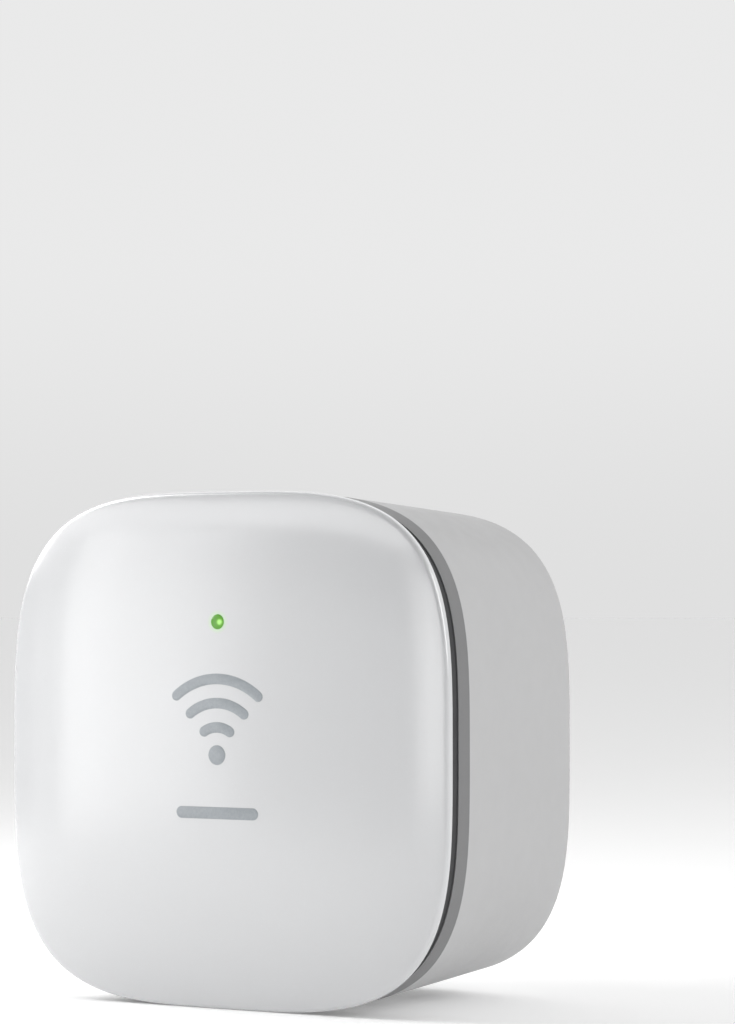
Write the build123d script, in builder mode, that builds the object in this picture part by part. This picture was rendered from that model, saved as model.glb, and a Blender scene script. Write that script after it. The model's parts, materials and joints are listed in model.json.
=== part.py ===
"""Wall-plug wifi range extender with a two-pin Euro plug.

Frame: the origin is the middle of the plug, on the wall plane. +Y runs into the wall, +Z up.
Every depth below is measured out from the wall, so a depth d lies at Y = -d.
"""

from build123d import *
from math import atan, cos, pi, sin
import os

os.makedirs("parts", exist_ok=True)

# ---------------------------------------------------------------- driving dimensions, mm
# Outline of the body: a superellipse, the same for every shell
outline_exponent = 3.6
outline_points = 40

# Shells, half widths and depths
back_half = 28.4
housing_half = 29.75
housing_depth = 27.6
band_front_half = 29.42
band_front_depth = 29.6
groove_half = 29.3
rim_depth = 31.9
rim_half = 30.0
shell_wall = 1.8
cover_wall = 1.2
fit_gap = 0.1

# Front cover's face: a nearly flat crown that falls away faster towards a small shoulder
crown_rise = 1.25
edge_share = 0.6
edge_power = 8
rim_side = 0.45
shoulder_radius = 0.6
face_centre_exponent = 2.2
edge_slope = atan(crown_rise * (2 * (1 - edge_share) + edge_power * edge_share) / rim_half)
shoulder_turn = pi / 2 - edge_slope
face_half = rim_half - shoulder_radius * (1 - cos(shoulder_turn))
face_edge_depth = rim_depth + rim_side + shoulder_radius * sin(shoulder_turn)
crown_depth = face_edge_depth + crown_rise

# Two-pin plug
pin_spacing = 19.0
pin_radius = 2.0
pin_length = 19.0
sleeve_radius = 1.75
sleeve_length = 10.0
shank_radius = 1.4
boss_length = 35.2
boss_height = 13.6
boss_depth = 7.0
flange_margin = 2.4

# Circuit boards, depth of the face towards the wall
board_thickness = 1.6
power_back = 8.0
power_front = power_back + board_thickness
logic_back = 22.6
logic_front = logic_back + board_thickness
logic_half = 25.0
logic_corner = 10.0
lead_gap = 0.3

# Posts and screws
post_x = 19.3
post_radius = 2.8
post_top = 22.0
screw_radius = 1.1
screw_head_radius = 1.9
screw_seat_depth = 12.0
screw_length = 13.0
board_post_radius = 1.9
board_screw_radius = 0.75

# Network socket, opening downwards
jack_width = 15.6
jack_height = 12.6
jack_length = 19.2
jack_mouth_z = -28.6
jack_back = 9.7
jack_gap = 0.2
shield_thickness = 0.25

# Buttons
button_z = -12.0
button_depth = 19.6
button_radius = 3.25
button_gap = 0.2
button_flange_radius = 3.9
plunger_radius = 1.2
reset_x = 12.2
reset_hole_radius = 0.8

# Status light
light_z = 14.9
light_radius = 0.8


# ---------------------------------------------------------------- shared shapes
def squircle(half_width, depth, exponent=outline_exponent):
    """Superellipse face of the given half width, facing away from the wall."""
    points = []
    for step in range(outline_points):
        angle = 2 * pi * step / outline_points
        x, z = cos(angle), sin(angle)
        reach = half_width / (abs(x) ** exponent + abs(z) ** exponent) ** (1 / exponent)
        points.append((reach * x, reach * z))
    with BuildSketch(Plane.XZ.offset(depth)) as outline:
        with BuildLine():
            Spline(*points, periodic=True)
        make_face()
    return outline.sketch


def slab(half_width, depth, front_depth, front_half=None):
    """Solid between two outlines of the body, straight or tapered."""
    with BuildPart() as solid:
        loft([squircle(half_width, depth), squircle(front_half or half_width, front_depth)])
    return solid.part


def face_depth(share):
    """Depth of the cover's domed face, from its middle (0) to its shoulder (1)."""
    return crown_depth - crown_rise * ((1 - edge_share) * share**2 + edge_share * share**edge_power)


def dome(half, inset):
    """Solid under the cover's domed face, moved in by the inset, on a flat back."""
    sections = []
    for share in (1.0, 0.97, 0.92, 0.84, 0.7, 0.5, 0.25, 0.06):
        exponent = face_centre_exponent + (outline_exponent - face_centre_exponent) * share
        sections.append(squircle(half * share, face_depth(share) - inset, exponent))
    with BuildPart() as solid:
        loft(sections)
    return solid.part


def housing_reach(depth):
    """Half width of the rear housing's outside at a depth."""
    return back_half + (housing_half - back_half) * depth / housing_depth


def hexagon_boss(length, height):
    """Outline of the plug's boss: a long hexagon with blunt ends, seen from the wall."""
    nose = height * 0.22
    slope = height * 0.28
    corners = [
        (length / 2, nose),
        (length / 2 - slope, height / 2),
        (-length / 2 + slope, height / 2),
        (-length / 2, nose),
        (-length / 2, -nose),
        (-length / 2 + slope, -height / 2),
        (length / 2 - slope, -height / 2),
        (length / 2, -nose),
    ]
    with BuildSketch(Plane.XZ) as outline:
        with BuildLine():
            Polyline(*corners, close=True)
        make_face()
        fillet(outline.vertices(), radius=1.4)
    return outline.sketch


def block(x, z, width, height, depth, thickness, corner=0.0):
    """Upright package: width along X, height along Z, growing from the given depth."""
    with BuildPart() as package:
        with BuildSketch(Plane.XZ.offset(depth)):
            with Locations((x, z)):
                Rectangle(width, height)
        extrude(amount=thickness)
        if corner:
            fillet(package.edges().filter_by(Axis.Y), radius=corner)
    return package.part


def drum(x, z, radius, depth, thickness):
    """Round package standing on a board."""
    with BuildPart() as package:
        with BuildSketch(Plane.XZ.offset(depth)):
            with Locations((x, z)):
                Circle(radius)
        extrude(amount=thickness)
    return package.part


post_places = [(x, z) for x in (-post_x, post_x) for z in (-post_x, post_x)]
sides = {"left": -1, "right": 1}

# ---------------------------------------------------------------- outside shells
# Front cover: a domed plate with a rounded shoulder, and a skirt that fits the frame
skirt_half = groove_half - 1.3
skirt_back = rim_depth - 0.8
shoulder_steps = 4
shoulder_sections = []
for step in range(shoulder_steps + 1):
    turn = step * shoulder_turn / shoulder_steps
    width = rim_half - shoulder_radius * (1 - cos(turn))
    shoulder_sections.append(squircle(width, rim_depth + rim_side + shoulder_radius * sin(turn)))
face_solid = dome(face_half, 0)
face_hollow = dome(skirt_half - cover_wall, cover_wall)
with BuildPart() as front_cover:
    add(slab(rim_half, rim_depth, rim_depth + rim_side))
    loft(shoulder_sections)
    add(face_solid)
    add(slab(skirt_half, skirt_back, rim_depth + 0.2))
    add(slab(skirt_half - cover_wall, skirt_back, face_edge_depth - cover_wall), mode=Mode.SUBTRACT)
    add(face_hollow, mode=Mode.SUBTRACT)
    with BuildSketch(Plane.XZ.offset(skirt_back)):
        with Locations((0, light_z)):
            Circle(light_radius + 0.05)
    extrude(amount=4, mode=Mode.SUBTRACT)
front_cover.part.label = "front_cover"
export_step(front_cover.part, "parts/front_cover.step")

# Mid frame: black plate behind the cover, its edge showing as a groove
plate_back = band_front_depth
plate_front = skirt_back - 0.3
rail_x = 24.9
antenna_z = 4.0
board_screw_places = [(-9, 21.5), (9, 21.5), (-12.5, -21.5)]
with BuildPart() as mid_frame:
    add(slab(groove_half, band_front_depth, rim_depth - fit_gap))
    add(slab(skirt_half + fit_gap, plate_front, rim_depth + 1), mode=Mode.SUBTRACT)
    # Posts that take the long housing screws
    with BuildSketch(Plane.XZ.offset(post_top + fit_gap)):
        with Locations(*post_places):
            Circle(post_radius - 0.3)
    extrude(amount=plate_back - post_top)
    # Short posts that carry the logic board
    with BuildSketch(Plane.XZ.offset(logic_front)):
        with Locations(*board_screw_places):
            Circle(board_post_radius)
    extrude(amount=plate_back - logic_front + 0.2)
    # Rails that back the upright antenna boards
    with BuildSketch(Plane.XZ.offset(logic_front + 0.3)):
        with Locations(*[(side * rail_x, antenna_z + dz) for side in (-1, 1) for dz in (-7, 7)]):
            Rectangle(1.2, 3)
    extrude(amount=plate_back - logic_front)
    # Screw pilots, and the way through for the light pipe
    with BuildSketch(Plane.XZ.offset(post_top)):
        with Locations(*post_places):
            Circle(screw_radius - 0.05)
    extrude(amount=6, mode=Mode.SUBTRACT)
    with BuildSketch(Plane.XZ.offset(logic_front)):
        with Locations(*board_screw_places):
            Circle(board_screw_radius)
    extrude(amount=4, mode=Mode.SUBTRACT)
    with BuildSketch(Plane.XZ.offset(plate_back)):
        with Locations((0, light_z)):
            Circle(light_radius + fit_gap)
    extrude(amount=4, mode=Mode.SUBTRACT)
mid_frame.part.label = "mid_frame"
export_step(mid_frame.part, "parts/mid_frame.step")

# Trim band: grey ring between frame and housing, its tongue inside the housing's mouth
band_inner_half = housing_half - shell_wall - 1.3
with BuildPart() as trim_band:
    add(slab(housing_half, housing_depth, band_front_depth, band_front_half))
    add(slab(housing_half - shell_wall - fit_gap, housing_depth - 1.2, housing_depth))
    add(slab(band_inner_half, housing_depth - 2, band_front_depth + 1), mode=Mode.SUBTRACT)
trim_band.part.label = "trim_band"
export_step(trim_band.part, "parts/trim_band.step")

# Rear housing: tapered shell with the plug hole, socket mouth, button hole and vents
floor_depth = 2.0
jack_front = jack_back + jack_height
jack_middle = (jack_back + jack_front) / 2
label_width, label_height, label_recess = 24.0, 13.0, 0.2
label_z = -17.5
vent_pitch = 3.2
vent_width = 1.3
with BuildPart() as rear_housing:
    loft([squircle(back_half, 0), squircle(housing_half, housing_depth)])
    fillet(rear_housing.faces().sort_by(Axis.Y)[-1].edges(), radius=0.8)
    add(
        slab(
            housing_reach(floor_depth) - shell_wall,
            floor_depth,
            housing_depth,
            housing_half - shell_wall,
        ),
        mode=Mode.SUBTRACT,
    )
    # Screw posts, bored for the shank and counterbored from the back for the head
    with BuildSketch(Plane.XZ.offset(floor_depth - 0.5)):
        with Locations(*post_places):
            Circle(post_radius)
    extrude(amount=post_top - floor_depth + 0.5)
    with BuildSketch(Plane.XZ):
        with Locations(*post_places):
            Circle(screw_head_radius + 0.2)
    extrude(amount=screw_seat_depth, mode=Mode.SUBTRACT)
    with BuildSketch(Plane.XZ):
        with Locations(*post_places):
            Circle(screw_radius + 0.1)
    extrude(amount=post_top, mode=Mode.SUBTRACT)
    # Hole for the plug boss
    add(
        extrude(hexagon_boss(boss_length + 0.2, boss_height + 0.2), amount=floor_depth, mode=Mode.PRIVATE),
        mode=Mode.SUBTRACT,
    )
    # Recess for the label on the back
    with BuildSketch(Plane.XZ):
        with Locations((0, label_z)):
            RectangleRounded(label_width + 0.2, label_height + 0.2, 1.1)
    extrude(amount=label_recess, mode=Mode.SUBTRACT)
    # Mouth for the network socket
    shield_gap = 2 * (shield_thickness + jack_gap)
    with Locations((0, -jack_middle, -housing_half)):
        Box(jack_width + shield_gap, jack_height + shield_gap, 8, mode=Mode.SUBTRACT)
    # Hole for the pairing button and pin hole for the reset switch
    with Locations((-back_half, -button_depth, button_z)):
        Cylinder(button_radius + button_gap, 8, rotation=(0, 90, 0), mode=Mode.SUBTRACT)
    with Locations((reset_x, -button_depth, -back_half)):
        Cylinder(reset_hole_radius, 8, mode=Mode.SUBTRACT)
    # Vent slots: a row along the top, and one on each side of the socket
    for x in [vent_pitch * index for index in range(-4, 5)]:
        with Locations((x, -14, housing_half)):
            Box(vent_width, 14, 8, mode=Mode.SUBTRACT)
    for x in [side * vent_pitch * index for side in (-1, 1) for index in (4, 5)]:
        with Locations((x, -9, -back_half)):
            Box(vent_width, 8, 8, mode=Mode.SUBTRACT)
rear_housing.part.label = "rear_housing"
export_step(rear_housing.part, "parts/rear_housing.step")

# Blank label in its recess
with BuildPart() as rating_label:
    with BuildSketch(Plane.XZ.offset(label_recess - 0.15)):
        with Locations((0, label_z)):
            RectangleRounded(label_width, label_height, 1.0)
    extrude(amount=0.15)
rating_label.part.label = "rating_label"
export_step(rating_label.part, "parts/rating_label.step")

# Light pipe: clear rod from the status light to the cover's face
pipe_back = logic_front + 1.0
pipe_front = face_depth(light_z / face_half) + 0.06
with BuildPart() as light_pipe:
    with BuildSketch(Plane.XZ.offset(pipe_back)):
        with Locations((0, light_z)):
            Circle(light_radius)
    extrude(amount=pipe_front - pipe_back)
    fillet(light_pipe.faces().sort_by(Axis.Y)[0].edges(), radius=0.25)
    with BuildSketch(Plane.XZ.offset(plate_back - 1.1)):
        with Locations((0, light_z)):
            Circle(light_radius + 1.2)
    extrude(amount=1.0)
light_pipe.part.label = "light_pipe"
export_step(light_pipe.part, "parts/light_pipe.step")

# ---------------------------------------------------------------- plug
# Boss: fills the socket's recess, with a flange inside the housing's floor
with BuildPart() as plug_boss:
    add(extrude(hexagon_boss(boss_length, boss_height), amount=-boss_depth, mode=Mode.PRIVATE))
    fillet(plug_boss.faces().sort_by(Axis.Y)[-1].edges(), radius=0.8)
    add(extrude(hexagon_boss(boss_length, boss_height), amount=floor_depth, mode=Mode.PRIVATE))
    with BuildSketch(Plane.XZ.offset(floor_depth)):
        RectangleRounded(boss_length + flange_margin, boss_height + flange_margin, 2)
    extrude(amount=1.6)
    with BuildSketch(Plane.XZ.offset(-boss_depth)):
        with Locations((-pin_spacing / 2, 0), (pin_spacing / 2, 0)):
            Circle(sleeve_radius)
    extrude(amount=boss_depth + 5, mode=Mode.SUBTRACT)
plug_boss.part.label = "plug_boss"
export_step(plug_boss.part, "parts/plug_boss.step")

pin_root = 6.8
collar_front = floor_depth + 1.6
for side, sign in sides.items():
    # Pin: full diameter at the tip, a thinner shank under the sleeve and inside
    with BuildPart() as plug_pin:
        with BuildSketch(Plane.XZ.offset(-boss_depth - pin_length)):
            with Locations((sign * pin_spacing / 2, 0)):
                Circle(pin_radius)
        extrude(amount=pin_length - sleeve_length)
        fillet(plug_pin.faces().sort_by(Axis.Y)[-1].edges(), radius=1.4)
        with BuildSketch(Plane.XZ.offset(-boss_depth - sleeve_length)):
            with Locations((sign * pin_spacing / 2, 0)):
                Circle(shank_radius)
        extrude(amount=boss_depth + sleeve_length + pin_root)
    plug_pin.part.label = f"{side}_pin"
    export_step(plug_pin.part, f"parts/{side}_pin.step")

# Insulating sleeves, moulded round the shanks
with BuildPart() as pin_sleeves:
    with BuildSketch(Plane.XZ.offset(-boss_depth - sleeve_length)):
        with GridLocations(pin_spacing, 0, 2, 1):
            Circle(sleeve_radius)
            Circle(shank_radius, mode=Mode.SUBTRACT)
    extrude(amount=boss_depth + sleeve_length + collar_front)
pin_sleeves.part.label = "pin_sleeves"
export_step(pin_sleeves.part, "parts/pin_sleeves.step")

# Spring contacts: split rings that grip the roots of the pins, on feet soldered to the board
contact_radius = 2.4
contact_split = 0.8
contact_gap = 0.3
foot_length, foot_width = 6.5, 3.6
with BuildPart() as pin_contacts:
    with BuildSketch(Plane.XZ.offset(collar_front + contact_gap)):
        with GridLocations(pin_spacing, 0, 2, 1):
            Circle(contact_radius)
            Circle(shank_radius, mode=Mode.SUBTRACT)
            Rectangle(contact_split, 3 * contact_radius, mode=Mode.SUBTRACT)
    extrude(amount=pin_root - collar_front)
    with BuildSketch(Plane.XZ.offset(pin_root + contact_gap)):
        with GridLocations(pin_spacing, 0, 2, 1):
            Rectangle(foot_length, foot_width)
    extrude(amount=power_back - pin_root - contact_gap)
pin_contacts.part.label = "pin_contacts"
export_step(pin_contacts.part, "parts/pin_contacts.step")

# ---------------------------------------------------------------- power board
power_bottom, power_top = -7.5, 16.0
power_width = 49.0
wire_radius = 0.3
pin_hole_radius = 0.5
header_x, header_z, header_pitch = 20.4, -4.4, 2.54
header_places = [
    (header_x + dx * header_pitch / 2, header_z + dz * header_pitch / 2)
    for dx in (-1, 1)
    for dz in (-1, 1)
]
with BuildPart() as power_board:
    with BuildSketch(Plane.XZ.offset(power_back)):
        with Locations((0, (power_top + power_bottom) / 2)):
            RectangleRounded(power_width, power_top - power_bottom, 2.5)
        with Locations(*header_places):
            Circle(pin_hole_radius, mode=Mode.SUBTRACT)
    extrude(amount=board_thickness)
power_board.part.label = "power_board"
export_step(power_board.part, "parts/power_board.step")

# Electrolytic capacitors: cans with a rolled groove near the foot, by x, z, radius and height
groove_start, groove_width, groove_cut = 1.2, 0.7, 0.3
capacitors = {
    "bulk_capacitor_1": (-19.8, 11.2, 4.0, 10.5),
    "bulk_capacitor_2": (-11.2, 11.2, 4.0, 10.5),
    "output_capacitor_1": (12.3, 11.2, 4.0, 10.5),
    "output_capacitor_2": (20.3, 11.6, 3.15, 9.5),
}
for label, (x, z, radius, height) in capacitors.items():
    with BuildPart() as capacitor:
        add(drum(x, z, radius, power_front + lead_gap, height))
        fillet(capacitor.edges().filter_by(GeomType.CIRCLE), radius=0.5)
        with BuildSketch(Plane.XZ.offset(power_front + lead_gap + groove_start)):
            with Locations((x, z)):
                Circle(radius + 1)
                Circle(radius - groove_cut, mode=Mode.SUBTRACT)
        extrude(amount=groove_width, mode=Mode.SUBTRACT)
        with BuildSketch(Plane.XZ.offset(power_front)):
            with Locations((x - radius / 2, z), (x + radius / 2, z)):
                Circle(wire_radius)
        extrude(amount=lead_gap + 0.2)
    capacitor.part.label = label
    export_step(capacitor.part, f"parts/{label}.step")

# Transformer: ferrite core round a flanged bobbin, the winding wrapped in tape
transformer_x, transformer_z = 0.4, 6.6
with BuildPart() as transformer_bobbin:
    add(block(transformer_x, transformer_z, 9.0, 12.6, power_front, 1.6))
    add(block(transformer_x, transformer_z, 4.4, 5.2, power_front + 1.6, 7.6))
    add(block(transformer_x, transformer_z, 8.6, 9.0, power_front + 9.2, 0.7))
transformer_bobbin.part.label = "transformer_bobbin"
export_step(transformer_bobbin.part, "parts/transformer_bobbin.step")

with BuildPart() as transformer_winding:
    add(block(transformer_x, transformer_z, 8.4, 10.4, power_front + 1.7, 7.4, corner=1.6))
    add(block(transformer_x, transformer_z, 4.5, 5.3, power_front, 12), mode=Mode.SUBTRACT)
transformer_winding.part.label = "transformer_winding"
export_step(transformer_winding.part, "parts/transformer_winding.step")

with BuildPart() as transformer_core:
    add(block(transformer_x, transformer_z, 13.4, 5.6, power_front + 0.2, 10.9, corner=0.4))
    add(block(transformer_x, transformer_z, 9.2, 8.0, power_front - 1, 11), mode=Mode.SUBTRACT)
transformer_core.part.label = "transformer_core"
export_step(transformer_core.part, "parts/transformer_core.step")

# Fusible resistor lying on the board, its two leads turned down
fuse_x, fuse_z, fuse_rise = -20.2, -4.6, 2.0
fuse_length, fuse_lead_span = 5.4, 7.4
leg_height = fuse_rise + wire_radius
with BuildPart() as fuse_resistor:
    with Locations((fuse_x, -power_front - fuse_rise, fuse_z)):
        Cylinder(1.6, fuse_length, rotation=(0, 90, 0))
    fillet(fuse_resistor.edges().filter_by(GeomType.CIRCLE), radius=0.5)
    with Locations((fuse_x, -power_front - fuse_rise, fuse_z)):
        Cylinder(wire_radius, fuse_lead_span, rotation=(0, 90, 0))
    for leg_x in (fuse_x - fuse_lead_span / 2, fuse_x + fuse_lead_span / 2):
        with Locations((leg_x, -power_front - leg_height / 2, fuse_z)):
            Box(2 * wire_radius, leg_height, 2 * wire_radius)
fuse_resistor.part.label = "fuse_resistor"
export_step(fuse_resistor.part, "parts/fuse_resistor.step")

# Disc parts standing on edge, by x, z, radius and thickness
disc_lead_x = 1.8
disc_lead_height = 2.8
discs = {"varistor": (-12.2, -4.9, 3.4, 2.8), "y_capacitor": (11.2, -4.9, 3.6, 3.0)}
for label, (x, z, radius, thickness) in discs.items():
    with BuildPart() as disc:
        with Locations((x, -power_front - radius - 0.8, z)):
            Cylinder(radius, thickness)
        fillet(disc.edges().filter_by(GeomType.CIRCLE), radius=0.9)
        for lead_x in (x - disc_lead_x, x + disc_lead_x):
            with Locations((lead_x, -power_front - disc_lead_height / 2, z)):
                Box(2 * wire_radius, disc_lead_height, 2 * wire_radius)
    disc.part.label = label
    export_step(disc.part, f"parts/{label}.step")

# Input choke: a ferrite drum with its winding between two flanges
choke_x, choke_z, choke_radius = -12.6, 2.4, 3.0
with BuildPart() as input_choke:
    add(drum(choke_x, choke_z, choke_radius, power_front + lead_gap, 7.5))
    with BuildSketch(Plane.XZ.offset(power_front + 1.4)):
        with Locations((choke_x, choke_z)):
            Circle(choke_radius + 1)
            Circle(choke_radius - 0.5, mode=Mode.SUBTRACT)
    extrude(amount=5.2, mode=Mode.SUBTRACT)
input_choke.part.label = "input_choke"
export_step(input_choke.part, "parts/input_choke.step")


def gull_wing_package(x, z, width, height, thickness, depth, legs, pitch):
    """Chip body with a row of flat legs along its upper and lower edges."""
    with BuildPart() as package:
        add(block(x, z, width, height, depth + 0.15, thickness - 0.15))
        chamfer(package.faces().sort_by(Axis.Y)[0].edges(), length=0.12)
        with BuildSketch(Plane.XZ.offset(depth)):
            with Locations((x, z)):
                with GridLocations(pitch, height + 0.7, legs, 2):
                    Rectangle(pitch * 0.4, 1.0)
        extrude(amount=0.25)
    return package.part


# Chips by x, z, width, height, thickness, legs in a row and their pitch
power_chips = {
    "bridge_rectifier": (-20.4, 2.9, 4.6, 4.2, 2.4, 2, 2.5),
    "switch_controller": (-4.0, -4.4, 4.9, 3.9, 1.5, 4, 1.27),
    "optocoupler": (3.6, -4.4, 4.4, 4.0, 2.6, 2, 2.54),
    "output_diode": (20.3, 3.0, 6.6, 4.2, 2.2, 1, 3.0),
}
for label, (x, z, width, height, thickness, legs, pitch) in power_chips.items():
    package = gull_wing_package(x, z, width, height, thickness, power_front, legs, pitch)
    package.label = label
    export_step(package, f"parts/{label}.step")

# Header between the two boards: plastic bars, and the pins that pass through both
header_size, header_height = 5.2, 2.5
header_pin = 0.62
pin_overhang = 1.0
with BuildPart() as supply_header:
    for depth in (power_front, logic_back - header_height):
        add(block(header_x, header_z, header_size, header_size, depth, header_height, corner=0.3))
    with BuildSketch(Plane.XZ.offset(power_front)):
        with Locations(*header_places):
            Rectangle(header_pin + 0.04, header_pin + 0.04)
    extrude(amount=logic_back - power_front, mode=Mode.SUBTRACT)
supply_header.part.label = "supply_header"
export_step(supply_header.part, "parts/supply_header.step")

with BuildPart() as supply_pins:
    with BuildSketch(Plane.XZ.offset(power_back - pin_overhang)):
        with Locations(*header_places):
            Rectangle(header_pin, header_pin)
    extrude(amount=logic_front - power_back + 2 * pin_overhang)
supply_pins.part.label = "supply_pins"
export_step(supply_pins.part, "parts/supply_pins.step")

# Film that keeps the mains side away from the logic board
film_depth, film_thickness = 21.0, 0.4
film_width, film_height = 48.0, 24.0
film_hole = header_size + 0.6
with BuildPart() as insulation_sheet:
    with BuildSketch(Plane.XZ.offset(film_depth)):
        with Locations((0, (power_top + power_bottom) / 2)):
            RectangleRounded(film_width, film_height, 2)
        with Locations((header_x, header_z)):
            Rectangle(film_hole, film_hole, mode=Mode.SUBTRACT)
    extrude(amount=film_thickness)
insulation_sheet.part.label = "insulation_sheet"
export_step(insulation_sheet.part, "parts/insulation_sheet.step")

# ---------------------------------------------------------------- logic board
with BuildPart() as logic_board:
    with BuildSketch(Plane.XZ.offset(logic_back)):
        RectangleRounded(2 * logic_half, 2 * logic_half, logic_corner)
        with Locations(*post_places):
            Circle(post_radius, mode=Mode.SUBTRACT)
        with Locations(*board_screw_places):
            Circle(board_screw_radius + 0.2, mode=Mode.SUBTRACT)
        with Locations(*header_places):
            Circle(pin_hole_radius, mode=Mode.SUBTRACT)
    extrude(amount=board_thickness)
logic_board.part.label = "logic_board"
export_step(logic_board.part, "parts/logic_board.step")

# Radio processor under a shield can, with a pad and a finned heat sink on top
can_x, can_z, can_size, can_height = 0.0, -1.5, 17.0, 2.4
can_wall = 0.25
can_vent_radius = 0.5
radio_chips = {
    "main_chip": (can_x, can_z, 11.0, 11.0, 1.2, 12, 0.8),
    "memory_chip": (-16.4, -3.4, 10.0, 6.0, 1.1, 10, 0.8),
    "flash_chip": (-16.4, 6.4, 5.2, 5.2, 1.6, 4, 1.27),
    "voltage_regulator": (15.6, -4.0, 3.0, 1.6, 1.1, 3, 0.95),
}
for label, (x, z, width, height, thickness, legs, pitch) in radio_chips.items():
    package = gull_wing_package(x, z, width, height, thickness, logic_front, legs, pitch)
    package.label = label
    export_step(package, f"parts/{label}.step")

with BuildPart() as shield_can:
    add(block(can_x, can_z, can_size, can_size, logic_front, can_height, corner=0.6))
    inner = can_size - 2 * can_wall
    add(block(can_x, can_z, inner, inner, logic_front, can_height - can_wall, corner=0.4), mode=Mode.SUBTRACT)
    with BuildSketch(Plane.XZ.offset(logic_front + 1)):
        with Locations((can_x, can_z)):
            with PolarLocations(7.4, 12):
                Circle(can_vent_radius)
    extrude(amount=can_height, mode=Mode.SUBTRACT)
shield_can.part.label = "shield_can"
export_step(shield_can.part, "parts/shield_can.step")

pad_size, pad_thickness = 12.0, 0.6
thermal_pad = block(can_x, can_z, pad_size, pad_size, logic_front + can_height, pad_thickness)
thermal_pad.label = "thermal_pad"
export_step(thermal_pad, "parts/thermal_pad.step")

sink_depth = logic_front + can_height + pad_thickness
sink_size, sink_height, sink_base = 14.0, 2.1, 1.0
fin_pitch, fin_gap = 2.3, 1.2
with BuildPart() as heat_sink:
    add(block(can_x, can_z, sink_size, sink_size, sink_depth, sink_height))
    with BuildSketch(Plane.XZ.offset(sink_depth + sink_base)):
        with Locations((can_x, can_z)):
            with GridLocations(fin_pitch, 0, 6, 1):
                Rectangle(fin_gap, sink_size + 2)
    extrude(amount=5, mode=Mode.SUBTRACT)
heat_sink.part.label = "heat_sink"
export_step(heat_sink.part, "parts/heat_sink.step")

crystal = block(-16.4, 12.2, 3.2, 2.5, logic_front, 0.8, corner=0.3)
crystal.label = "crystal"
export_step(crystal, "parts/crystal.step")

network_transformer = gull_wing_package(0, -17.6, 12.7, 6.8, 4.6, logic_front, 8, 1.27)
network_transformer.label = "network_transformer"
export_step(network_transformer, "parts/network_transformer.step")

with BuildPart() as buck_inductor:
    add(block(15.6, -9.6, 4.2, 4.2, logic_front, 2.0, corner=0.9))
    chamfer(buck_inductor.faces().sort_by(Axis.Y)[0].edges(), length=0.2)
buck_inductor.part.label = "buck_inductor"
export_step(buck_inductor.part, "parts/buck_inductor.step")

# Status light: a small emitter with a domed top
with BuildPart() as status_led:
    add(block(0, light_z, 2.0, 1.2, logic_front, 0.3))
    add(block(0, light_z, 1.2, 1.0, logic_front + 0.3, 0.4, corner=0.2))
status_led.part.label = "status_led"
export_step(status_led.part, "parts/status_led.step")

# Small ceramic capacitors and chip resistors, each kind in one node
capacitor_places = [(-10.4, z) for z in (-8, -5, -2, 1, 4)] + [(10.4, z) for z in (-8, -5, -2, 1, 4)]
with BuildPart() as ceramic_capacitors:
    with BuildSketch(Plane.XZ.offset(logic_front)):
        with Locations(*capacitor_places):
            Rectangle(0.8, 1.6)
    extrude(amount=0.8)
ceramic_capacitors.part.label = "ceramic_capacitors"
export_step(ceramic_capacitors.part, "parts/ceramic_capacitors.step")

resistor_places = [(x, 10.2) for x in (-9, -6, -3, 3, 6, 9)] + [(x, -12.6) for x in (-7, -3.5, 3.5, 7)]
with BuildPart() as chip_resistors:
    with BuildSketch(Plane.XZ.offset(logic_front)):
        with Locations(*resistor_places):
            Rectangle(1.6, 0.8)
    extrude(amount=0.45)
chip_resistors.part.label = "chip_resistors"
export_step(chip_resistors.part, "parts/chip_resistors.step")

# ---------------------------------------------------------------- network socket
jack_top_z = jack_mouth_z + jack_length
cavity_width, cavity_length = 11.9, 13.6
cavity_back, cavity_front = jack_back + 2.2, jack_back + 10.6
latch_width = 6.4
with BuildPart() as rj45_housing:
    with Locations((0, -jack_middle, jack_mouth_z + jack_length / 2)):
        Box(jack_width, jack_height, jack_length)
    with Locations((0, -(cavity_back + cavity_front) / 2, jack_mouth_z + cavity_length / 2)):
        Box(cavity_width, cavity_front - cavity_back, cavity_length, mode=Mode.SUBTRACT)
    with Locations((0, -cavity_back + 0.7, jack_mouth_z + cavity_length / 2)):
        Box(latch_width, 1.6, cavity_length, mode=Mode.SUBTRACT)
rj45_housing.part.label = "rj45_housing"
export_step(rj45_housing.part, "parts/rj45_housing.step")

# Shield: folded sheet round the socket's back, sides and inner end, open at the mouth
with BuildPart() as rj45_shell:
    skin = 2 * shield_thickness
    with Locations((0, -jack_middle, jack_mouth_z + jack_length / 2 + shield_thickness / 2)):
        Box(jack_width + skin, jack_height + skin, jack_length + shield_thickness)
    with Locations((0, -jack_middle, jack_mouth_z + jack_length / 2)):
        Box(jack_width, jack_height, jack_length, mode=Mode.SUBTRACT)
    # The side against the board is left open
    with Locations((0, -jack_front - shield_thickness / 2, jack_mouth_z + jack_length / 2 + 1)):
        Box(jack_width, shield_thickness, jack_length, mode=Mode.SUBTRACT)
rj45_shell.part.label = "rj45_shell"
export_step(rj45_shell.part, "parts/rj45_shell.step")

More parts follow.
